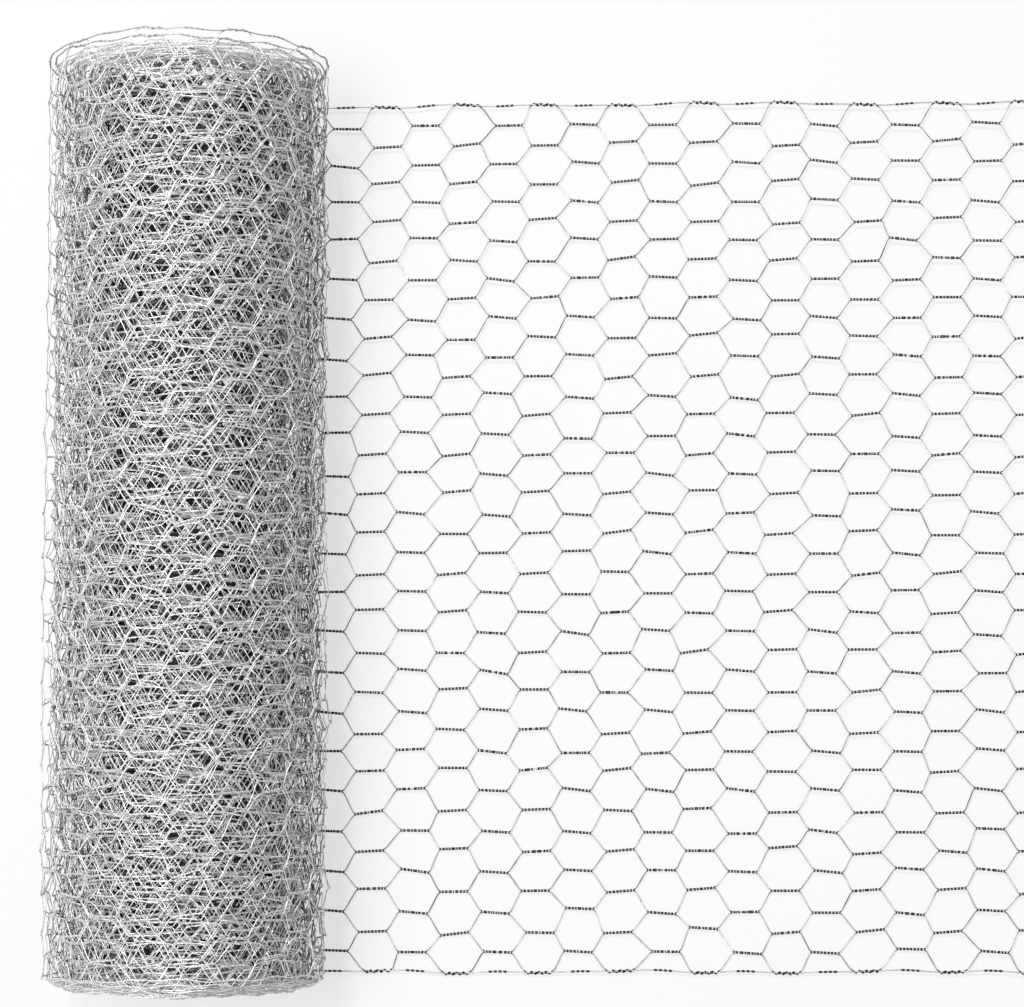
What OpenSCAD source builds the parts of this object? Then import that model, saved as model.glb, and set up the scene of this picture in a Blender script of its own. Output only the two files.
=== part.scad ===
// Roll of galvanised hexagonal wire netting, lying on its side.
// The roll's axis runs along Y, its loose end lies flat towards +X, and the floor is Z = 0.
// The origin is under the middle of the whole, roll and loose end together.

/* [Netting] */
// Width of the netting over its two selvedges
net_w = 600; // [300:10:1200]
// Meshes across the width
mesh_rows = 22; // [10:1:30]
// Distance from one column of twists to the next
column_gap = 28.1; // [25:0.1:36]
// Length of one twist
twist_len = 19; // [12:0.5:21]
// Thickness of the wire
wire_d = 0.9; // [0.6:0.1:1.4]

/* [Roll] */
// Diameter of the hollow middle
bore_d = 64; // [40:1:140]
// Tight turns round the hollow middle
tight_turns = 23; // [8:1:30]
// Distance from one tight turn to the next
tight_pitch = 1.7; // [1.6:0.05:3]
// Loose turns outside the tight ones
loose_turns = 4; // [1:1:6]
// Distance from one loose turn to the next
loose_pitch = 5.5; // [3:0.1:8]
// Thickness of a turn where it shows on the ends of the roll
turn_t = 1.1; // [0.8:0.05:1.5]
// Depth to which the gaps between the turns show on the ends
gap_depth = 6; // [2:0.5:20]

/* [Loose end] */
// Length of the loose end, from under the roll's axis to its cut end
loose_len = 612; // [300:1:900]
// Distance from the start of the loose end to its first column
lead_in = 13.7; // [11:0.1:24]
// Clearance where the loose end meets the underside of the roll
seat_gap = 0.3; // [0.1:0.1:0.6]

/* [Hidden] */
zinc = [0.66, 0.67, 0.68];
round_sides = 128;
// How far a cut runs past the face that it opens
cut_over = 1;

// Two wires twisted together, the selvedge cable, and a mesh wire wrapped round that cable
twist_d = 2 * wire_d;
selvedge_d = 2 * wire_d;
wrap_d = selvedge_d + wire_d;
// The wraps are the thickest part of the netting, and it lies on them
net_t = wrap_d;
// Each selvedge's centre line, and the mesh pitch between the two
edge_y = (net_w - wrap_d) / 2;
pitch = 2 * edge_y / mesh_rows;

turns = tight_turns + loose_turns;
roll_r = turn_r(turns - 1) + turn_t;
// Along X from the roll's axis, the loose end starts where the underside has risen clear of the selvedge
seat_z = (net_t + selvedge_d) / 2 + seat_gap;
start_x = sqrt(roll_r * roll_r - (roll_r - seat_z) * (roll_r - seat_z));
// Columns whose twists begin before the cut end, and those of them in the stretch beside the roll
columns = ceil((loose_len - column_x(0) + twist_len / 2) / column_gap);
inner_columns = floor(columns / 2);
split_x = column_x(inner_columns - 0.5);
// The roll's axis as seen from the origin
axis_x = (roll_r - loose_len) / 2;

// Inner radius of turn i, counted from the hollow middle outwards
function turn_r(i) = bore_d / 2 + min(i, tight_turns - 1) * tight_pitch
    + max(i - tight_turns + 1, 0) * loose_pitch;

// Middle of column i, along X from the roll's axis
function column_x(i) = start_x + lead_in + i * column_gap;

// Odd columns have a twist on each selvedge, and even columns lie half a pitch between them
function on_edge(i) = abs(i) % 2 == 1;
function twist_rows(i) = on_edge(i) ? [0:mesh_rows] : [0.5:mesh_rows - 0.5];
function mesh_centres(i) = on_edge(i) ? [0.5:mesh_rows - 0.5] : [0:mesh_rows];
function row_y(row) = row * pitch - edge_y;
function is_wrap(row) = row == 0 || row == mesh_rows;

// Half of the roll's section: a ring with the gaps between the turns cut into both ends
module roll_section() {
    difference() {
        translate([bore_d / 2, -net_w / 2]) square([roll_r - bore_d / 2, net_w]);
        for (i = [0:turns - 2], far = [0, 1])
            mirror([0, far])
                translate([turn_r(i) + turn_t, net_w / 2 - gap_depth])
                    square([turn_r(i + 1) - turn_r(i) - turn_t, gap_depth + cut_over]);
    }
}

// One mesh opening: a hexagon between six wires, each half a wire thick on its side
module mesh_opening() {
    run = column_gap - twist_len;
    rise = pitch / 2;
    side_inset = wire_d / 2 * norm([run, rise]) / rise;
    tip_x = twist_len / 2 + run - side_inset;
    flat_y = rise - wire_d / 2;
    flat_x = tip_x - run * flat_y / rise;
    polygon([
        [tip_x, 0], [flat_x, flat_y], [-flat_x, flat_y],
        [-tip_x, 0], [-flat_x, -flat_y], [flat_x, -flat_y]
    ]);
}

// Plan of the mesh wires from x0 to x1, where columns first to last lie
module mesh_plan(x0, x1, first, last) {
    difference() {
        translate([x0, -edge_y]) square([x1 - x0, 2 * edge_y]);
        for (i = [first - 1:last + 1], row = mesh_centres(i))
            translate([column_x(i), row_y(row)]) mesh_opening();
    }
}

// Plan of the twists of columns first to last up to x1, within the mesh or wrapped on the selvedges
module twist_plan(x1, first, last, wraps) {
    thick = wraps ? wrap_d : twist_d;
    for (i = [first:last], row = twist_rows(i))
        if (is_wrap(row) == wraps) {
            from_x = column_x(i) - twist_len / 2;
            translate([from_x, row_y(row) - thick / 2]) square([min(twist_len, x1 - from_x), thick]);
        }
}

// Plan of the two selvedge cables from x0 to x1
module selvedge_plan(x0, x1) {
    for (side = [-1, 1])
        translate([x0, side * edge_y - selvedge_d / 2]) square([x1 - x0, selvedge_d]);
}

// A plan given its thickness about the middle plane of the netting
module layer(thick) {
    translate([axis_x, 0, (net_t - thick) / 2]) linear_extrude(thick) children();
}

// A flat stretch of netting from x0 to x1, along X from the roll's axis
module netting(x0, x1, first, last) {
    layer(wire_d) mesh_plan(x0, x1, first, last);
    layer(twist_d) twist_plan(x1, first, last, false);
    layer(selvedge_d) selvedge_plan(x0, x1);
    layer(wrap_d) twist_plan(x1, first, last, true);
}

module wound_roll() {
    color(zinc)
        translate([axis_x, 0, roll_r]) rotate([90, 0, 0])
            rotate_extrude($fn = round_sides) roll_section();
}

module loose_end_inner() {
    color(zinc) netting(start_x, split_x, 0, inner_columns - 1);
}

module loose_end_outer() {
    color(zinc) netting(split_x, loose_len, inner_columns, columns - 1);
}

wound_roll();
loose_end_inner();
loose_end_outer();
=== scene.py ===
import math
import bpy
import numpy as np
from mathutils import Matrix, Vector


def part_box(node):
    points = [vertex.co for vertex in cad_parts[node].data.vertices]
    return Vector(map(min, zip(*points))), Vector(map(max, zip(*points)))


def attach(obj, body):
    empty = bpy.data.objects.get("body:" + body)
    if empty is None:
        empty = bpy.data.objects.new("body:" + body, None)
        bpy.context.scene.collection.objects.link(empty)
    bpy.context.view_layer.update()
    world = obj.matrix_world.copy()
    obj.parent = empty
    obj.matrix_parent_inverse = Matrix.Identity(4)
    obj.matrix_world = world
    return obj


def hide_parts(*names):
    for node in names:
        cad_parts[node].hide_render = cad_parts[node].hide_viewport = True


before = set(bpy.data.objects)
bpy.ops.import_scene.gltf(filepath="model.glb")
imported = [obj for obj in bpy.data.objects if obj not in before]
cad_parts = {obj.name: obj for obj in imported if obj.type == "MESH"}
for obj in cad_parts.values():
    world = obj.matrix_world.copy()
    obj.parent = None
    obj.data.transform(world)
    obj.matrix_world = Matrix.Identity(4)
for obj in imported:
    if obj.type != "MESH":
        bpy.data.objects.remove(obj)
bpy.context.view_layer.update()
mm = 0.001
print("frame loaded:", sorted(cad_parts))

# Where the frame says that the roll and its loose end are.
# u runs along the netting, from 0 under the roll's axis
rollLow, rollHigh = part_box("wound_roll")
innerLow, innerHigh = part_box("loose_end_inner")
axisX = (rollLow.x + rollHigh.x) / 2
rollR = (rollHigh.z - rollLow.z) / 2
midZ = innerHigh.z / 2  # middle plane of the netting where it lies flat
edgeY = rollHigh.y - midZ  # centre line of each selvedge
splitU = innerHigh.x - axisX  # where the two stretches of the loose end meet
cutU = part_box("loose_end_outer")[1].x - axisX  # where the loose end is cut off

# The netting, in millimetres
netting = {
    "meshRows": 22,
    "columnGap": 28.1,
    "twistLen": 19.0,
    "wire": 0.9,
    "lead": 1.1,  # how firmly a link runs straight on from a twist
    "linkStraight": 0.2,  # and through its own middle, as a share of its length
    "selvedgeTurns": 2,  # turns that the two wires of a selvedge make at each column
    "selvedgeTwist": 0.7,  # length that they take for it, as a share of a twist's
    "selvedgeClose": 0.3,  # how much closer they lie between
    "wrapOut": 2.1,  # how far a wrap lies from the middle of its selvedge, in radii of the wire
    "slipAlong": 0.9,  # seeded wander of each twist along the netting
    "slipAcross": 1.0,  # and across it
    "woundSlip": 0.9,  # share of that wander on the roll
    "lean": 0.045,  # seeded lean of each twist, in radians
    "woundLean": 2.0,  # how much more the twists lean on the roll
    "leanOnEdge": 0.04,  # lean that the columns with twists on the selvedges share
    "leanBetween": -0.05,  # and that of the columns between them
    "sway": 1.0,  # radians by which a strand runs ahead of an even twist or behind it
    "swayWaves": 1.6,  # waves of that along a twist
    "seed": 1907,
}
columnGap = netting["columnGap"] * mm
twistLen = netting["twistLen"] * mm
wireR = netting["wire"] * mm / 2
rowCount = netting["meshRows"]
pitch = 2 * edgeY / rowCount
innerColumns = round((splitU - innerLow.x + axisX) / columnGap)
firstU = splitU - (innerColumns - 0.5) * columnGap  # the column numbered 0
lastColumn = math.ceil((cutU - firstU + twistLen / 2) / columnGap) - 1

# How the netting is wound, in millimetres, listed by turns from the outermost inwards
winding = {
    "turns": [0.0, 0.75, 1.2, 12.0, 22.0, 32.0],
    "radiusLoss": [0.0, -1.2, 2.3, 18.5, 34.0, 58.5],  # the outermost turn bulges a little
    "floorRise": [0.0, 0.5, 2.5, 10.0, 10.0, 10.0],  # how far the outer turns lie off the floor
    "coreShift": [0.0, 0.4, 2.0, 3.0, 3.0, 3.0],  # the core lies this far towards the loose end
    "slipTurns": [0.0, 0.5, 1.0, 1.5, 2.5, 3.5],
    "endSlip": [0.0, 7.2, 4.5, 3.0, 1.0, 0.0],  # how far each outer turn has slid along the axis
    "endRagged": 2.4,  # seeded slide of the turns under them
    "endPull": 5.0,  # seeded pull of the rows beside each end along the axis
    "pullRows": (0.0, 0.8, 2.0, 5.0),  # rows from the selvedge where that pull grows, and where it fades
    "seededStep": 0.5,  # turns from one seeded slide or pull to the next
    "seededTurns": (1.5, 3.0),  # turns where they start, and where they are full
    "kinkTurns": [0.1, 0.4, 1.2, 3.5, 10.4, 14.0],
    "kink": [0.0, 0.6, 1.5, 1.6, 1.0, 0.3],  # seeded height of each twist off the even spiral
    "parted": [0.0, 0.4, 1.1, 1.2, 1.0, 0.3],  # how far one strand leaves a twist over the other
    "looseKink": 0.4,  # seeded height of each twist on the loose end
    "pressed": 0.9,  # share of the ripples and kinks that the weight takes out along the bottom
    "pressedFrom": 0.4,  # cosine of the angle from straight down where that starts
    "pressedTo": 0.9,  # and where it is full
    "edgeWave": 0.7,  # how far the selvedges wave along the axis in long waves
    "edgeRate": 75.0,  # radians of those waves to a metre along the netting
    "edgeRateAcross": 3.0,  # and to a metre across it
    "columnWave": 0.6,  # how far the links pull the selvedges in and out
    "columnRate": 213.0,  # radians of that to a metre
    "columnDrift": 1.7,  # how far it drifts from an even wave, in radians
    "columnDriftRate": 5.0,  # radians of the drift to a turn
    "waveTurns": (0.1, 0.6),  # turns where these waves start, and where they are full
    "edgeLift": 0.6,  # keeps the thick wraps of the selvedges off the floor
    "outerRipple": 0.8,  # how far the outer turns ripple in and out
    "coreRipple": 0.3,
    # each ripple's share, its waves to a turn, its radians to a metre across and its start
    "ripples": [(1.0, 2.3, 9.0, 1.0), (0.7, 1.8066, -14.0, 0.0)],
    "rippleTurns": (0.05, 0.3),  # turns where the ripples start, and where they are full
    "steps": 30000,  # points that the length of the spiral is added up from
}
looseTurn, coreTurn = winding["turns"][2:4]  # where the loose turns end, and where the core starts


# Smooth step from 0 at low to 1 at high
def ease(value, low, high):
    share = np.clip((value - low) / (high - low), 0, 1)
    return share * share * (3 - 2 * share)


# Smooth step from 0 to 1 between the first two places, and back to 0 between the last two
def swell(value, places):
    return ease(value, *places[:2]) * (1 - ease(value, *places[2:]))


# A spiral whose radius and centre change with the turn, and its length from the outside in
def woundSpiral():
    turns = winding["turns"]
    turn = np.linspace(0, turns[-1], winding["steps"])
    radius = rollR - midZ - np.interp(turn, turns, winding["radiusLoss"]) * mm
    outerTurn = np.clip(turn, 0, coreTurn)
    outerR = rollR - midZ - np.interp(outerTurn, turns, winding["radiusLoss"]) * mm
    centreX = axisX + np.interp(turn, turns, winding["coreShift"]) * mm
    centreZ = midZ + np.interp(turn, turns, winding["floorRise"]) * mm + outerR
    angle = 2 * math.pi * turn
    x = centreX - radius * np.sin(angle)
    z = centreZ - radius * np.cos(angle)
    length = np.concatenate([[0], np.cumsum(np.hypot(np.diff(x), np.diff(z)))])
    knots = np.arange(0, turns[-1] + 1, winding["seededStep"])
    chance = np.random.default_rng(netting["seed"] + 1)
    ragged = chance.normal(0, winding["endRagged"], len(knots))
    pullNear, pullFar = chance.normal(0, winding["endPull"] * mm, (2, len(knots)))
    under = ease(turn, *winding["seededTurns"])
    slip = np.interp(turn, winding["slipTurns"], winding["endSlip"])
    slip = slip + np.interp(turn, knots, ragged) * under
    return {
        "turn": turn,
        "x": x,
        "z": z,
        "length": length,
        "slip": slip * mm,
        "pullNear": np.interp(turn, knots, pullNear) * under,
        "pullFar": np.interp(turn, knots, pullFar) * under,
    }


spiral = woundSpiral()
woundLen = spiral["length"][-1]
firstColumn = -math.floor((woundLen + firstU - twistLen) / columnGap)
print("wound length %.2f m, columns %d to %d" % (woundLen, firstColumn, lastColumn))

# How the loose end lies, in millimetres; a reach is measured along it from under the roll's axis
looseLie = {
    "nearLift": 1.6,  # beside the roll, where the netting still wants to curl
    "nearReach": (15.0, 110.0, 130.0, 420.0),  # where that grows, and where it fades
    "nearShare": 0.15,  # share of it on the near side
    "nearSide": (-0.5, 0.6),  # where it grows to the whole, in half widths of the netting
    "endLift": 3.0,  # towards the cut end
    "endReach": (300.0, 460.0),
    "endTilt": 0.4,  # how much more of that the far side takes, and the near side less
    "wave": 0.4,  # height of the long low waves
    "waveLong": 260.0,
    "waveAcross": 330.0,
    "waveReach": (20.0, 120.0),
    "bow": 2.9,  # the columns bow along the netting
    "bowReach": (0.0, 60.0),
    "bowSpan": 0.85,  # half waves of the bow in half a width
    "bowMiddle": 0.25,  # where it crosses over, in half widths
    "bowFade": 0.7,  # share of it that is gone again towards the cut end
    "bowFadeReach": (360.0, 480.0),
    "rowBow": 0.9,  # the rows bow towards the far selvedge
    "rowTilt": 0.35,  # how much less of that the far rows take, and the near rows more
    "rowReach": (0.0, 50.0),
    "cornerPull": 5.0,  # the far corner beside the roll is pulled this much along the netting
    "cornerDip": 2.4,  # and this much in from the far selvedge
    "cornerReach": (0.0, 80.0, 100.0, 320.0),
    "cornerSide": (0.25, 0.95),  # where across the netting it grows, in half widths
    "edgeWaves": [56.2, 83.0, 190.0],  # lengths of the waves that each selvedge wanders in
    "edgeWander": [0.5, 0.4, 0.6],
    "edgeStart": 2.0,  # radians that set the waves of the two selvedges apart
    "edgeSide": (0.96, 1.0),
}


# Height of the loose end over the floor: a swell beside the roll, a long low wave and a lifted end
def looseLift(u, y):
    s = looseLie
    reach = u / mm
    near = s["nearShare"] + (1 - s["nearShare"]) * ease(y / edgeY, *s["nearSide"])
    near = s["nearLift"] * swell(reach, s["nearReach"]) * near
    phase = 2 * math.pi * (reach / s["waveLong"] + y / mm / s["waveAcross"])
    wave = s["wave"] * (1 + np.sin(phase)) * ease(reach, *s["waveReach"])
    end = s["endLift"] * ease(reach, *s["endReach"]) * (1 - s["endTilt"] + s["endTilt"] * y / edgeY)
    return (near + end + wave) * mm


# The loose end is pulled out of square: its columns bow in an S and its rows towards the far selvedge
def looseDrift(u, y):
    s = looseLie
    reach = u / mm
    side = y / edgeY
    bow = ease(reach, *s["bowReach"]) * (1 - s["bowFade"] * ease(reach, *s["bowFadeReach"]))
    along = s["bow"] * np.sin(math.pi * s["bowSpan"] * (side - s["bowMiddle"])) * bow
    started = ease(reach, *s["rowReach"])
    across = s["rowBow"] * (1 - side ** 4) * (1 - s["rowTilt"] - s["rowTilt"] * side) * started
    corner = ease(side, *s["cornerSide"]) * swell(reach, s["cornerReach"])
    along = along + s["cornerPull"] * corner
    across = across - s["cornerDip"] * corner
    edge = ease(np.abs(side), *s["edgeSide"]) * started
    for long, wander in zip(s["edgeWaves"], s["edgeWander"]):
        across = across + wander * np.sin(2 * math.pi * reach / long + s["edgeStart"] * np.sign(y)) * edge
    return along * mm, across * mm


# What is left of the ripples and kinks at a turn: the weight of the roll flattens them along the bottom
def springy(turn):
    low = np.cos(2 * math.pi * turn)
    return 1 - winding["pressed"] * ease(low, winding["pressedFrom"], winding["pressedTo"])


# Places points of the netting: u along it, y across it, h off its middle plane
def layNetting(u, y, h):
    w = winding
    depth = np.clip(-u, 0, None)
    wound = u < 0
    length = spiral["length"]
    turn = np.interp(depth, length, spiral["turn"])
    angle = 2 * math.pi * turn
    driftAlong, driftAcross = looseDrift(u, y)
    x = np.where(wound, np.interp(depth, length, spiral["x"]), axisX + u + driftAlong)
    z = np.where(wound, np.interp(depth, length, spiral["z"]), midZ + looseLift(u, y))
    normal = np.stack([np.sin(angle), np.zeros_like(angle), np.cos(angle)], axis=-1)
    outer = 1 - ease(turn, looseTurn, coreTurn)
    size = (w["coreRipple"] + (w["outerRipple"] - w["coreRipple"]) * outer) * mm
    ripple = 0
    for share, waves, rate, start in w["ripples"]:
        ripple = ripple + share * np.sin(angle * waves + y * rate + start)
    lift = h + size * ripple * springy(turn) * ease(turn, *w["rippleTurns"])
    inFrom = edgeY - np.abs(y)
    atEdge = 1 - ease(inFrom, 0, pitch / 2)
    lift = lift + w["edgeLift"] * mm * atEdge
    pullNear = np.interp(depth, length, spiral["pullNear"])
    pullFar = np.interp(depth, length, spiral["pullFar"])
    slip = np.interp(depth, length, spiral["slip"])
    slip = slip + np.where(y < 0, pullNear, pullFar) * swell(inFrom / pitch, w["pullRows"])
    edgeWave = w["edgeWave"] * np.sin(depth * w["edgeRate"] + y * w["edgeRateAcross"])
    drift = w["columnDrift"] * np.sin(turn * w["columnDriftRate"])
    edgeWave = edgeWave + w["columnWave"] * np.sin(depth * w["columnRate"] + drift) * atEdge
    edgeWave = edgeWave * mm * ease(turn, *w["waveTurns"])
    place = np.stack([x, y + slip + edgeWave + driftAcross, z], axis=-1) + normal * lift[..., None]
    return place, normal


# The twists: middles, leans and ends of every column, rows down the last axis
def twistField():
    columns = np.arange(firstColumn - 1, lastColumn + 2)
    onRoll = (columns < -1)[:, None]
    onEdge = (columns % 2 == 1)[:, None]  # every other column has a twist on each selvedge
    chance = np.random.default_rng(netting["seed"])
    shape = (len(columns), rowCount + 1)
    row = np.arange(rowCount + 1)[None, :] + np.where(onEdge, 0.0, 0.5)
    wrap = onEdge & ((row == 0) | (row == rowCount))
    calm = np.where(onRoll, netting["woundSlip"], 1.0)
    u = firstU + columns[:, None] * columnGap + chance.normal(0, netting["slipAlong"] * mm, shape) * calm
    y = row * pitch - edgeY + chance.normal(0, netting["slipAcross"] * mm, shape) * calm * ~wrap
    shared = np.where(onEdge, netting["leanOnEdge"], netting["leanBetween"])
    moreLean = np.where(onRoll, netting["woundLean"], 1.0)
    lean = (shared + chance.normal(0, netting["lean"], shape) * moreLean) * ~wrap
    along = np.stack([np.cos(lean), np.sin(lean)], axis=-1)
    middle = np.stack([u, y], axis=-1)
    turn = np.interp(-u, spiral["length"], spiral["turn"])
    kink = chance.normal(0, 1, shape)
    woundKink = kink * np.interp(turn, winding["kinkTurns"], winding["kink"]) * springy(turn)
    rise = np.where(u < 0, woundKink, np.abs(kink) * winding["looseKink"]) * mm * ~wrap
    parted = np.interp(turn, winding["kinkTurns"], winding["parted"]) * springy(turn) * mm
    parted = parted * ~wrap * (u < 0)
    return {
        "onEdge": onEdge[:, 0],
        "wrap": wrap,
        "along": along,
        "rise": rise,
        "sway": chance.normal(0, netting["sway"], shape) * ~wrap,
        "swayPhase": chance.uniform(0, 2 * math.pi, shape),
        "creviceShade": chance.uniform(-1, 1, (*shape, 2, 2)),  # seeded depth of the painted crevice shade of both strands, at both ends of a twist
        "glint": chance.normal(0, 1, (*shape, 2, 3)),  # seeded painted glints of both strands: link before, twist's ends
        "lighter": chance.integers(0, 2, shape),  # the strand of each twist that gets less painted crevice shade
        "parted": parted[..., None] * chance.choice([-1, 1], (*shape, 2)),  # at both ends of a twist
        "left": middle - along * twistLen / 2,
        "right": middle + along * twistLen / 2,
    }


field = twistField()

# How finely the loose end is made
fineWire = {
    "link": 3,  # segments of half a link
    "twist": 24,  # segments of a twist
    "turns": 2.0,  # turns of a twist, made and then unmade
    "sides": 4,  # sides of a wire
    "apart": 1.2,  # how far a strand of a twist lies from its middle, in radii of the wire
    "round": 0.86,  # radius of a link, as a share of the wire's
    "filled": 1.06,  # radius of the strands of a twist, which the zinc fills
    "selvedge": 0.9,  # step along a selvedge, in millimetres
}
# The same for the roll, coarser from the outside in; the innermost wires are thicker, to close the view
outerWire = {"link": 2, "twist": 8, "turns": 1.0, "sides": 3,
             "apart": 0.85, "round": 0.84, "filled": 0.84, "selvedge": 2.0}
middleWire = {"link": 1, "twist": 4, "turns": 0.5, "sides": 3,
              "apart": 0.8, "round": 0.82, "filled": 0.8, "selvedge": 2.5}
coreWire = {"link": 1, "twist": 1, "turns": 0.0, "sides": 3,
            "apart": 0.5, "round": 0.85, "filled": 0.8, "selvedge": 4.0}
innerWire = {"link": 1, "twist": 1, "turns": 0.0, "sides": 3,
             "apart": 0.5, "round": 1.3, "filled": 1.2, "selvedge": 4.0}

# How bright the wires are painted, from 0 to 1: painted light and shade, carried by the shine of each point
brightness = {
    # painted shine of the roll's wires; the loose end's wires are painted darker
    "roll": 1.0,
    # painted shade of the deep core: how bright its wires are left
    "core": 0.1,
    "coreShadeTurns": (15.0, 24.0),  # turns where painted shade starts to darken the wires, and where they are as dark as the core's
    "under": 0.85,  # how far painted shade darkens the wires on the sides of the roll, down towards the floor
    "underTurns": (0.5, 3.0),  # turns that the painted shade leaves bright there, and where it is full
    "underSide": -0.05,  # angle from straight down, towards the loose end, of the painted shade's middle line
    "underFrom": -0.6,  # cosine of the angle from that line where the painted shade starts
    "underTo": 0.35,  # and where it is full
    "underFade": 0.65,  # share of the painted shade that is gone again at that line
    "endReach": 12.0,  # millimetres from each end of the roll where the painted shade of the core and sides is lighter
    "endShare": 0.6,  # share of that painted shade that is gone at the very end
    "farArcShade": 0.55,  # painted shade: share of the brightness left on the far selvedge of the outermost turns
    "arcReach": (2.0, 3.0),  # millimetres from that selvedge where this ends
    "arcTurns": (1.2, 2.2),  # and the turns where it ends
    "looseReach": (-20.0, 70.0),  # millimetres along the netting where the loose end's own painted shine takes over from the roll's
    "linkDown": 0.44,  # links that run down to the right, painted brighter as painted sheen where the light catches them
    "linkUp": 0.38,  # and those that run up
    "glint": 0.17,  # seeded painted glint that changes a link's shine along it
    "leastShine": 0.05,
    # painted shine of the loose end's twists, wraps and selvedges: darker than the roll's, as painted shade
    # and reflection
    "twist": 0.62,
    "wrap": 0.35,
    "selvedge": 0.55,
    "creviceShade": 1.4,  # how dark the painted shade in the crevices of a twist is
    "creviceSpread": 0.4,  # seeded change of that along a twist
    "creviceSplit": 0.1,  # how much less painted shade one strand of a twist gets than the other
    "woundCrevice": 0.25,  # share of that darkness on the roll
}


# One cubic curve for each row of the four control points, at the shares given
def cubic(a, b, c, d, share):
    t = share[:, None]
    spread = (1 - t) ** 3, 3 * t * (1 - t) ** 2, 3 * t * t * (1 - t), t ** 3
    return sum(w * p[:, None, :] for w, p in zip(spread, (a, b, c, d)))


# The wires of some columns: each runs from the middle of one link, through a twist, to the middle of the next
def meshWires(low, high, detail):
    shift = firstColumn - 1
    paths = []
    starts = []
    number = np.full((high - low + 2, rowCount + 1, 2), -1)
    made = 0
    for index in range(low - shift, high - shift + 1):
        onEdge = field["onEdge"][index]
        rows = np.arange(rowCount + 1 if onEdge else rowCount)
        for side in (1, -1):
            beside = rows + (0 if onEdge else 1) + (0 if side > 0 else -1)
            kept = (beside >= 0) & (beside <= (rowCount - 1 if onEdge else rowCount))
            mine = rows[kept]
            other = beside[kept]
            column = index - low + shift
            number[column, mine, (1 - side) // 2] = np.arange(made, made + len(mine))
            nextColumn = np.full_like(other, column + 1)
            nextStrand = np.full_like(other, (1 + side) // 2)
            starts.append(np.stack([nextColumn, other, nextStrand]))
            made += len(mine)
            paths.append(strandPath(index, mine, other, side, detail))
    nextWire = number[tuple(np.concatenate(starts, axis=1))]
    return np.concatenate(paths), nextWire


# One strand: half a link in, turns round the other strand and back, half a link out.
# Its points hold u, y and h, then the painted shine, the angle of the twist, how much painted shade that
# puts in its crevices, and the radius of the wire
def strandPath(index, mine, other, side, detail):
    b = brightness
    strand = (1 - side) // 2
    along = field["along"][index, mine]
    across = np.stack([-along[:, 1], along[:, 0]], axis=-1)
    left = field["left"][index, mine]
    right = field["right"][index, mine]
    wrap = field["wrap"][index, mine][:, None]
    turnR = np.where(wrap, netting["wrapOut"], detail["apart"]) * wireR
    enters = left + side * across * turnR
    leaves = right + side * across * turnR
    before = field["right"][index - 1, other]
    after = field["left"][index + 1, other]
    inMid = (before + left) / 2
    outMid = (after + right) / 2
    inward = (left - before) * netting["linkStraight"]
    outward = (after - right) * netting["linkStraight"]
    lead = along * netting["lead"] * mm
    share = np.linspace(0, 1, detail["link"] + 1)
    comes = cubic(inMid, inMid + inward, enters - lead, enters, share)[:, :-1]
    goes = cubic(leaves, leaves + lead, outMid - outward, outMid, share)[:, 1:]
    t = np.linspace(0, 1, detail["twist"] + 1)
    waves = 2 * math.pi * netting["swayWaves"] * t + field["swayPhase"][index, mine][:, None]
    sway = field["sway"][index, mine][:, None] * np.sin(math.pi * t) * np.sin(waves)
    turned = np.where(wrap, 2 * t, 1 - np.abs(2 * t - 1))  # a wrap turns on, a twist turns back halfway
    angle = 2 * math.pi * detail["turns"] * turned + sway
    core = left[:, None, :] + (right - left)[:, None, :] * t[:, None]
    twist = core + side * (across * turnR)[:, None, :] * np.cos(angle)[..., None]
    flat = np.concatenate([comes, twist, goes], axis=1)
    rise = field["rise"][index, mine][:, None]
    riseIn = (rise + field["rise"][index - 1, other][:, None]) / 2
    riseOut = (rise + field["rise"][index + 1, other][:, None]) / 2
    parted = side * field["parted"][index, mine]
    first = rise + parted[:, :1]
    last = rise + parted[:, 1:]
    opens = parted[:, :1] * np.clip(1 - 2 * t, 0, 1) ** 2 + parted[:, 1:] * np.clip(2 * t - 1, 0, 1) ** 2
    height = np.concatenate([
        riseIn + (first - riseIn) * ease(share, 0, 1)[:-1],
        rise + opens + side * turnR * np.sin(angle),
        last + (riseOut - last) * ease(share, 0, 1)[1:],
    ], axis=1)
    # painted glints and reflections that change along each link
    glint = field["glint"][index, mine, strand]
    glintIn = glint[:, :1] + (glint[:, 1:2] - glint[:, :1]) * share[:-1]
    nextGlint = field["glint"][index + 1, other, 1 - strand, :1]
    glintOut = glint[:, 2:] + (nextGlint - glint[:, 2:]) * share[1:]
    # painted sheen: links that run down to the right are painted brighter than those that run up
    lookIn, lookOut = (b["linkDown"], b["linkUp"]) if side > 0 else (b["linkUp"], b["linkDown"])
    shine = np.concatenate([
        lookIn + b["glint"] * glintIn,
        np.where(wrap, b["wrap"], b["twist"]) * np.ones_like(t),
        lookOut + b["glint"] * glintOut,
    ], axis=1)
    # painted shade in the crevices along the twist
    ends = field["creviceShade"][index, mine, strand]
    dark = b["creviceShade"] + b["creviceSpread"] * (ends[:, :1] * (1 - t) + ends[:, 1:] * t)
    dark = dark - b["creviceSplit"] * (field["lighter"][index, mine] == strand)[:, None]
    pointValues = np.zeros((*flat.shape[:2], 4))
    pointValues[..., 0] = np.clip(shine, b["leastShine"], 1)
    pointValues[..., 3] = detail["round"] * wireR
    twisted = pointValues[:, detail["link"]:detail["link"] + len(t)]
    twisted[..., 1] = 2 * math.pi * fineWire["turns"] * turned + sway
    twisted[..., 2] = np.clip(dark, 0, 1)
    twisted[..., 3] = detail["filled"] * wireR
    return np.concatenate([flat, height[..., None], pointValues], axis=-1)


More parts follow.
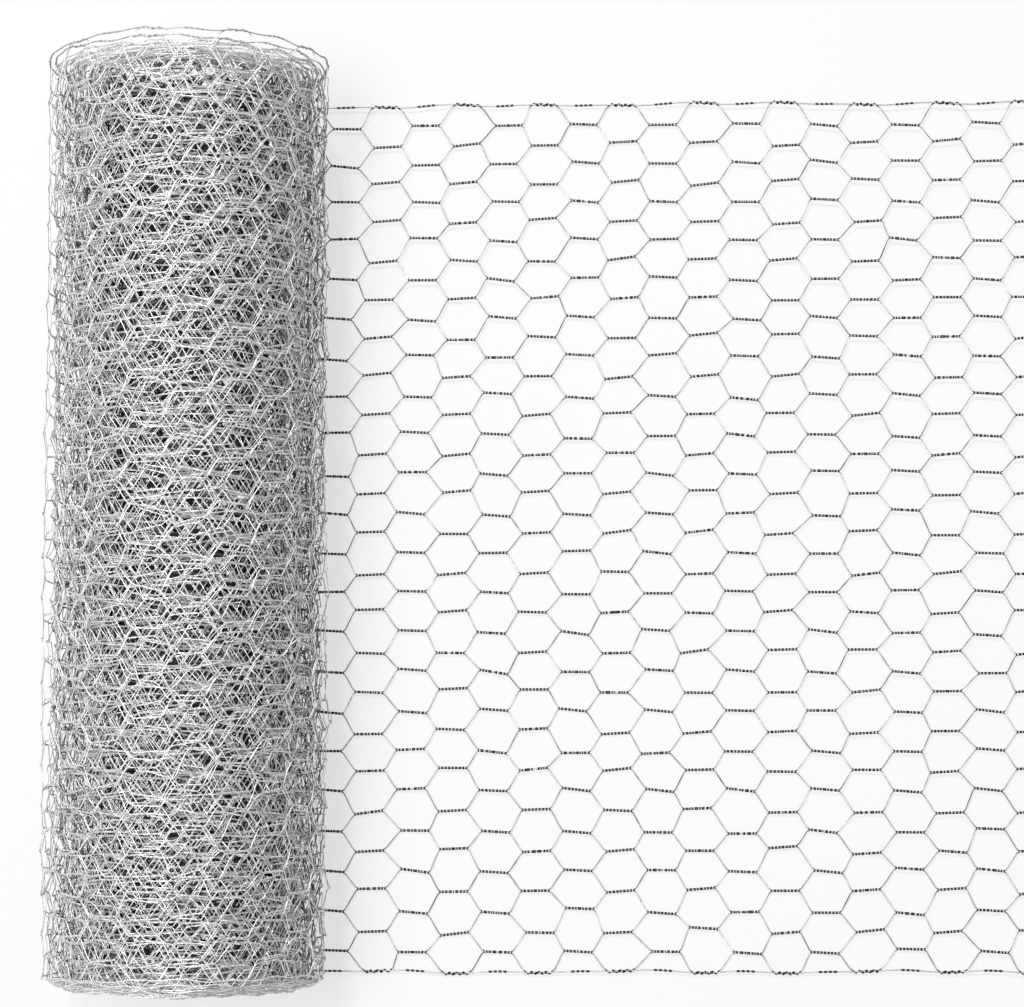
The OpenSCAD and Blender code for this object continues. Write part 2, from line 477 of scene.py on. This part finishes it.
# The two wires of each selvedge, turned round each other at every column and one over the other between
def selvedgeWires(low, high, detail):
    u = np.linspace(low, high, int(round((high - low) / (detail["selvedge"] * mm))) + 1)
    column = (u - firstU) / columnGap
    whole = np.floor(column + 0.5)
    near = np.clip((column - whole) * columnGap / (twistLen * netting["selvedgeTwist"]) + 0.5, 0, 1)
    quarter = 0.25  # this part of a turn lays one wire over the other
    angle = 2 * math.pi * (netting["selvedgeTurns"] * (whole + near) + quarter)
    straight = (near == 0) | (near == 1)
    shine = np.full_like(u, brightness["selvedge"])
    radius = np.full_like(u, detail["round"] * wireR)
    spread = wireR * (1 - netting["selvedgeClose"] * straight)
    paths = []
    for end in (-1, 1):
        for side in (1, -1):
            y = end * edgeY + side * spread * np.cos(angle)
            height = side * spread * np.sin(angle)
            paths.append(np.stack([u, y, height, shine, angle, 1.0 - straight, radius], axis=-1))
    return np.stack(paths)


# Painted light and shade on the wires: bright on the outer turns, painted shade in the core, down the sides
# and on the far selvedge of the outermost turn, lighter near the ends; on the loose end each wire keeps its
# own painted shine, glints and crevice shade, darker than the roll's
def paintedShading(paths):
    b = brightness
    u = paths[..., 0]
    y = paths[..., 1]
    turn = np.interp(-u, spiral["length"], spiral["turn"])
    # share of the painted shade that is kept: less near the ends of the roll, where light reaches in
    shadeKept = 1 - b["endShare"] * ease(np.abs(y), edgeY - b["endReach"] * mm, edgeY)
    # painted shade in the deep turns of the core
    coreShade = ease(turn, *b["coreShadeTurns"]) * shadeKept
    wound = b["roll"] + (b["core"] - b["roll"]) * coreShade
    # painted shade down the sides of the roll towards the floor, lighter again along the very bottom
    low = np.cos(2 * math.pi * turn + b["underSide"])
    sideShade = b["under"] * ease(turn, *b["underTurns"]) * shadeKept
    sideShade = sideShade * ease(low, b["underFrom"], b["underTo"])
    sideShade = sideShade * (1 - b["underFade"] * ease(low, b["underTo"], 1))
    wound = wound * (1 - sideShade)
    # painted shade on the far selvedge of the outermost turns
    farArcShade = (1 - ease((edgeY - y) / mm, *b["arcReach"])) * (1 - ease(turn, *b["arcTurns"]))
    wound = wound * (1 + (b["farArcShade"] - 1) * farArcShade)
    # the loose end's own painted shine takes over from the roll's
    loose = ease(u / mm, *b["looseReach"])
    shine = wound * (1 - loose) + paths[..., 3] * loose
    creviceShade = paths[..., 5] * (b["woundCrevice"] * (1 - loose) + loose)
    return np.stack([shine, paths[..., 4], creviceShade], axis=-1)


# A round profile carried along each path; a wire's last ring is the first of the wire that goes on from it
def tubes(paths, nextWire, detail):
    place, normal = layNetting(paths[..., 0], paths[..., 1], paths[..., 2])
    tangent = np.gradient(place, axis=1)
    tangent /= np.linalg.norm(tangent, axis=-1, keepdims=True)
    across = np.cross(tangent, normal)
    across /= np.linalg.norm(across, axis=-1, keepdims=True)
    up = np.cross(across, tangent)
    sides = detail["sides"]
    turn = 2 * math.pi * np.arange(sides) / sides
    ring = up[:, :, None, :] * np.cos(turn)[:, None] + across[:, :, None, :] * np.sin(turn)[:, None]
    corners = place[:, :, None, :] + ring * paths[:, :, None, 6:]
    count, rings = paths.shape[:2]
    grid = np.arange(count * rings * sides).reshape(count, rings, sides)
    goesOn = nextWire >= 0
    comesFrom = np.zeros(count, dtype=bool)
    comesFrom[nextWire[goesOn]] = True
    grid[goesOn, -1] = grid[nextWire[goesOn], 0]
    around = np.roll(grid, -1, axis=2)
    walls = np.stack([grid[:, :-1], around[:, :-1], around[:, 1:], grid[:, 1:]], axis=-1).reshape(-1, 4)
    caps = np.concatenate([grid[~comesFrom, 0, ::-1], grid[~goesOn, -1]])
    pointValues = np.repeat(paintedShading(paths), sides, axis=1)
    return corners.reshape(-1, 3), walls, caps, pointValues.reshape(-1, 3)


# sRGB hex to the linear colour that Blender's sockets hold
def linear(hexColour):
    part = np.array([int(hexColour[i:i + 2], 16) for i in (0, 2, 4)]) / 255
    return (*np.where(part <= 0.04045, part / 12.92, ((part + 0.055) / 1.055) ** 2.4), 1.0)


# Adds a node with its settings, and links or sets its inputs
def addNode(tree, kind, inputs=None, **settings):
    made = tree.nodes.new(kind)
    for name, value in settings.items():
        setattr(made, name, value)
    for name, value in (inputs or {}).items():
        if isinstance(value, bpy.types.NodeSocket):
            tree.links.new(value, made.inputs[name])
        else:
            made.inputs[name].default_value = value
    return made


# Galvanised steel wire, hot dipped: pale zinc that glints, mottled by its spangle; each point's painted shine
# and crevice shade mix it down towards near black
def galvanisedWire():
    look = {
        "bright": "f2f1f0",
        # colour of the painted shade that the wires are mixed towards
        "paintedShade": "080808",
        "spangle": 6.0,  # millimetres from one zinc patch to the next
        "spangleDetail": 3.0,
        "patchLow": 0.3,  # values of the noise that count as the dullest and the palest patch
        "patchHigh": 0.7,
        "mottleLow": 0.85,  # how bright those patches are
        "mottleHigh": 1.1,
        "roughLow": 0.35,
        "roughHigh": 0.5,
        "crownFrom": 0.77,  # sine of the twist's angle where a strand starts to rise out of the crevice and its painted shade
        "crownTo": 1.0,
        "metallic": 0.5,  # the rest is the thin white bloom on the zinc
        "bloomGloss": 0.2,
    }
    made = bpy.data.materials.new("galvanised_wire")
    made.use_nodes = True
    tree = made.node_tree
    tree.nodes.clear()
    place = addNode(tree, "ShaderNodeTexCoord")
    shine = addNode(tree, "ShaderNodeAttribute", attribute_name="shine")
    angle = addNode(tree, "ShaderNodeAttribute", attribute_name="twistAngle")
    creviceShade = addNode(tree, "ShaderNodeAttribute", attribute_name="creviceShade")
    over = addNode(tree, "ShaderNodeMath", {0: angle.outputs["Fac"]}, operation="SINE")
    over = addNode(tree, "ShaderNodeMath", {0: over.outputs["Value"]}, operation="ABSOLUTE")
    # painted shade in a twist's crevices: dark wherever a strand is not at its crown
    under = addNode(tree, "ShaderNodeMapRange", {
        "Value": over.outputs["Value"], "From Min": look["crownFrom"], "From Max": look["crownTo"],
        "To Min": 1.0, "To Max": 0.0}, interpolation_type="SMOOTHSTEP")
    dark = addNode(tree, "ShaderNodeMath", {
        0: creviceShade.outputs["Fac"], 1: under.outputs["Result"]}, operation="MULTIPLY")
    creviceLit = addNode(tree, "ShaderNodeMath", {0: 1.0, 1: dark.outputs["Value"]}, operation="SUBTRACT")
    # how much of the bright zinc is left after the painted shine, glints and crevice shade
    paintedLit = addNode(tree, "ShaderNodeMath", {
        0: shine.outputs["Fac"], 1: creviceLit.outputs["Value"]}, operation="MULTIPLY")
    spangle = addNode(tree, "ShaderNodeTexNoise", {
        "Vector": place.outputs["Object"], "Scale": 1 / (look["spangle"] * mm),
        "Detail": look["spangleDetail"]})
    zinc = addNode(tree, "ShaderNodeMix", {
        "Factor": paintedLit.outputs["Value"], 6: linear(look["paintedShade"]), 7: linear(look["bright"])},
        data_type="RGBA")
    mottle = addNode(tree, "ShaderNodeMapRange", {
        "Value": spangle.outputs["Fac"], "From Min": look["patchLow"], "From Max": look["patchHigh"],
        "To Min": look["mottleLow"], "To Max": look["mottleHigh"]})
    tone = addNode(tree, "ShaderNodeVectorMath", {
        0: zinc.outputs[2], "Scale": mottle.outputs["Result"]}, operation="SCALE")
    rough = addNode(tree, "ShaderNodeMapRange", {
        "Value": spangle.outputs["Fac"], "From Min": look["patchLow"], "From Max": look["patchHigh"],
        "To Min": look["roughLow"], "To Max": look["roughHigh"]})
    shader = addNode(tree, "ShaderNodeBsdfPrincipled", {
        "Base Color": tone.outputs["Vector"], "Roughness": rough.outputs["Result"],
        "Metallic": look["metallic"], "Specular IOR Level": look["bloomGloss"]})
    addNode(tree, "ShaderNodeOutputMaterial", {"Surface": shader.outputs["BSDF"]})
    return made


wireMaterial = galvanisedWire()


# Puts corners, walls and end caps into a mesh piece at the origin, with the painted shine and shade of its
# wires
def makePiece(name, nodeName, corners, walls, caps, pointValues):
    used, loops = np.unique(np.concatenate([walls.ravel(), caps.ravel()]), return_inverse=True)
    wallStart = np.arange(0, walls.size, walls.shape[1])
    capStart = walls.size + np.arange(0, caps.size, caps.shape[1])
    faceCount = len(walls) + len(caps)
    mesh = bpy.data.meshes.new(name)
    mesh.vertices.add(len(used))
    mesh.vertices.foreach_set("co", corners[used].astype(np.float32).ravel())
    mesh.loops.add(len(loops))
    mesh.loops.foreach_set("vertex_index", loops.astype(np.int32))
    mesh.polygons.add(faceCount)
    mesh.polygons.foreach_set("loop_start", np.concatenate([wallStart, capStart]).astype(np.int32))
    mesh.polygons.foreach_set("use_smooth", np.arange(faceCount) < len(walls))
    mesh.update(calc_edges=True)
    for column, valueName in enumerate(("shine", "twistAngle", "creviceShade")):
        layer = mesh.attributes.new(valueName, "FLOAT", "POINT")
        layer.data.foreach_set("value", pointValues[used, column].astype(np.float32))
    mesh.materials.append(wireMaterial)
    piece = bpy.data.objects.new(name, mesh)
    bpy.context.scene.collection.objects.link(piece)
    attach(piece, "root")
    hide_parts(nodeName)
    triangles = 2 * len(walls) + (caps.shape[1] - 2) * len(caps)
    print("%s: %d triangles" % (name, triangles))
    return triangles


# Wires and selvedges of the columns low to high, as one piece
def nettingPiece(name, nodeName, low, high, detail):
    lowU = max(firstU + (low - 0.5) * columnGap, -woundLen)
    highU = min(firstU + (high + 0.5) * columnGap, cutU)
    paths, nextWire = meshWires(low, high, detail)
    corners, walls, caps, pointValues = tubes(paths, nextWire, detail)
    edgePaths = selvedgeWires(lowU, highU, detail)
    edgeCorners, edgeWalls, edgeCaps, edgePointValues = tubes(edgePaths, np.full(len(edgePaths), -1), detail)
    shift = len(corners)
    corners = np.concatenate([corners, edgeCorners])
    walls = np.concatenate([walls, edgeWalls + shift])
    caps = np.concatenate([caps, edgeCaps + shift])
    pointValues = np.concatenate([pointValues, edgePointValues])
    return makePiece(name, nodeName, corners, walls, caps, pointValues)


# The column that a turn of the roll starts at
def columnAtTurn(turn):
    return -math.floor((np.interp(turn, spiral["turn"], spiral["length"]) + firstU) / columnGap)


# The roll from the outside in: name, turn that a stretch ends at, how finely it is made, number of pieces
stretches = [
    ("outer_turns_wire", 2.6, outerWire, 1),
    ("middle_turns_wire", 9.0, middleWire, 2),
    ("core_turns_wire", 18.0, coreWire, 1),
    ("inner_turns_wire", None, innerWire, 1),
]


# Pieces from the cut end inwards: the two stretches of the loose end, then those of the roll
def makeNetting():
    total = nettingPiece("loose_end_outer_wire", "loose_end_outer", innerColumns, lastColumn, fineWire)
    total += nettingPiece("loose_end_inner_wire", "loose_end_inner", 0, innerColumns - 1, fineWire)
    above = 0
    for name, turn, detail, count in stretches:
        lowest = firstColumn if turn is None else columnAtTurn(turn)
        cuts = np.linspace(above, lowest, count + 1).round().astype(int)
        for part in range(count):
            partName = "%s_%d" % (name, part + 1)
            total += nettingPiece(partName, "wound_roll", cuts[part + 1], cuts[part] - 1, detail)
        above = lowest
    print("netting: %d triangles in all" % total)


makeNetting()

# What places the camera: pixels of the photograph in its frame of 1024 by 1007, then the camera's own values
photo = {
    "wide": 1024,
    "high": 1007,
    "farSelvedge": 105.0,
    "nearSelvedge": 971.5,
    "edgeColumn": 374.8,  # a column with a twist on each selvedge
    "edgeColumnNumber": 3,  # which of the netting's columns that is
    "under": 771.0,  # row that lies straight under the camera
    "aim": 585.5,  # row that the camera points at
    "cameraHeight": 2.0,  # metres
    "sensor": 36.0,  # millimetres
}


# Looks almost straight down, leaning a little, with a small shift for the rest of the framing
def placeCamera():
    p = photo
    rows = p["nearSelvedge"] - p["farSelvedge"]
    scale = 2 * edgeY / rows
    middleRow = (p["nearSelvedge"] + p["farSelvedge"]) / 2
    x = axisX + firstU + p["edgeColumnNumber"] * columnGap + (p["wide"] / 2 - p["edgeColumn"]) * scale
    y = (middleRow - p["under"]) * scale
    aimY = (middleRow - p["aim"]) * scale
    lean = math.atan((aimY - y) / p["cameraHeight"])
    far = math.tan(math.atan((edgeY - y) / p["cameraHeight"]) - lean)
    near = math.tan(math.atan((-edgeY - y) / p["cameraHeight"]) - lean)
    focal = rows / (far - near)  # in pixels, so that both selvedges fall on their rows
    data = bpy.data.cameras.new("camera")
    data.sensor_width = p["sensor"]
    data.lens = data.sensor_width * focal / p["wide"]
    data.shift_y = (p["farSelvedge"] + focal * far - p["high"] / 2) / p["wide"]
    camera = bpy.data.objects.new("camera", data)
    camera.location = (x, y, p["cameraHeight"])
    camera.rotation_euler = (lean, 0, 0)
    bpy.context.scene.collection.objects.link(camera)
    bpy.context.scene.camera = camera
    print("camera at", [round(v, 3) for v in camera.location], "lens %.1f" % data.lens)


placeCamera()

# White floor and soft light, in metres and watts: a broad glow from the upper left, a small lamp at the
# far side and a broad one overhead
studio = {
    "floor": 200.0,
    "floorColour": "cccccc",
    "floorGlow": 0.72,  # share of the floor that the camera and the metal see as plain white board
    "glowColour": "f8f8f8",
    "surroundColour": "ffffff",
    "brightFrom": (-0.4, 0.06, 0.91),  # direction that the surround is brightest in
    "dim": 0.1,
    "bright": 0.5,
    "brightLow": 0.1,  # cosine of the angle from there where the surround is dim, and where it is bright
    "brightHigh": 0.95,
    "keyFrom": (-0.5, 2.25, 3.1),
    "keySize": 0.2,
    "keyPower": 105.0,
    "topFrom": (-1.0, -0.1, 3.1),
    "topSize": 1.2,
    "topPower": 98.0,
}


# White board, matt: it takes the soft shadow of the wires
def makeFloor():
    half = studio["floor"] / 2
    corners = [(-half, -half, 0), (half, -half, 0), (half, half, 0), (-half, half, 0)]
    mesh = bpy.data.meshes.new("floor")
    mesh.from_pydata(corners, [], [(0, 1, 2, 3)])
    made = bpy.data.materials.new("white_board")
    made.use_nodes = True
    tree = made.node_tree
    tree.nodes.clear()
    ray = addNode(tree, "ShaderNodeLightPath")
    seen = addNode(tree, "ShaderNodeMath", {
        0: ray.outputs["Is Camera Ray"], 1: ray.outputs["Is Glossy Ray"]}, operation="MAXIMUM")
    seen = addNode(tree, "ShaderNodeMath", {
        0: seen.outputs["Value"], 1: ray.outputs["Is Transmission Ray"]}, operation="MAXIMUM")
    share = addNode(tree, "ShaderNodeMath", {
        0: seen.outputs["Value"], 1: studio["floorGlow"]}, operation="MULTIPLY")
    matt = addNode(tree, "ShaderNodeBsdfDiffuse", {"Color": linear(studio["floorColour"])})
    plain = addNode(tree, "ShaderNodeEmission", {"Color": linear(studio["glowColour"]), "Strength": 1.0})
    board = addNode(tree, "ShaderNodeMixShader", {
        0: share.outputs["Value"], 1: matt.outputs["BSDF"], 2: plain.outputs["Emission"]})
    addNode(tree, "ShaderNodeOutputMaterial", {"Surface": board.outputs["Shader"]})
    mesh.materials.append(made)
    floor = bpy.data.objects.new("floor", mesh)
    bpy.context.scene.collection.objects.link(floor)


# A round soft lamp that faces the middle of the floor
def addLamp(name):
    data = bpy.data.lights.new(name, "AREA")
    data.shape = "DISK"
    data.size = studio[name + "Size"]
    data.energy = studio[name + "Power"]
    lamp = bpy.data.objects.new(name, data)
    x, y, z = studio[name + "From"]
    lamp.location = (x, y, z)
    lamp.rotation_euler = (math.atan2(math.hypot(x, y), z), 0, math.atan2(x, -y))
    bpy.context.scene.collection.objects.link(lamp)


# Two lamps, and a white surround that is brightest on one side
def makeLight():
    addLamp("key")
    addLamp("top")
    world = bpy.data.worlds.new("studio")
    world.use_nodes = True
    tree = world.node_tree
    tree.nodes.clear()
    place = addNode(tree, "ShaderNodeTexCoord")
    towards = addNode(tree, "ShaderNodeVectorMath", {
        0: place.outputs["Generated"], 1: studio["brightFrom"]}, operation="DOT_PRODUCT")
    level = addNode(tree, "ShaderNodeMapRange", {
        "Value": towards.outputs["Value"], "From Min": studio["brightLow"],
        "From Max": studio["brightHigh"], "To Min": studio["dim"], "To Max": studio["bright"]},
        interpolation_type="SMOOTHSTEP")
    surround = addNode(tree, "ShaderNodeBackground", {
        "Color": linear(studio["surroundColour"]), "Strength": level.outputs["Result"]})
    addNode(tree, "ShaderNodeOutputWorld", {"Surface": surround.outputs["Background"]})
    bpy.context.scene.world = world


makeFloor()
makeLight()
bpy.context.scene.view_settings.view_transform = "Standard"
print("floor, light and camera placed")
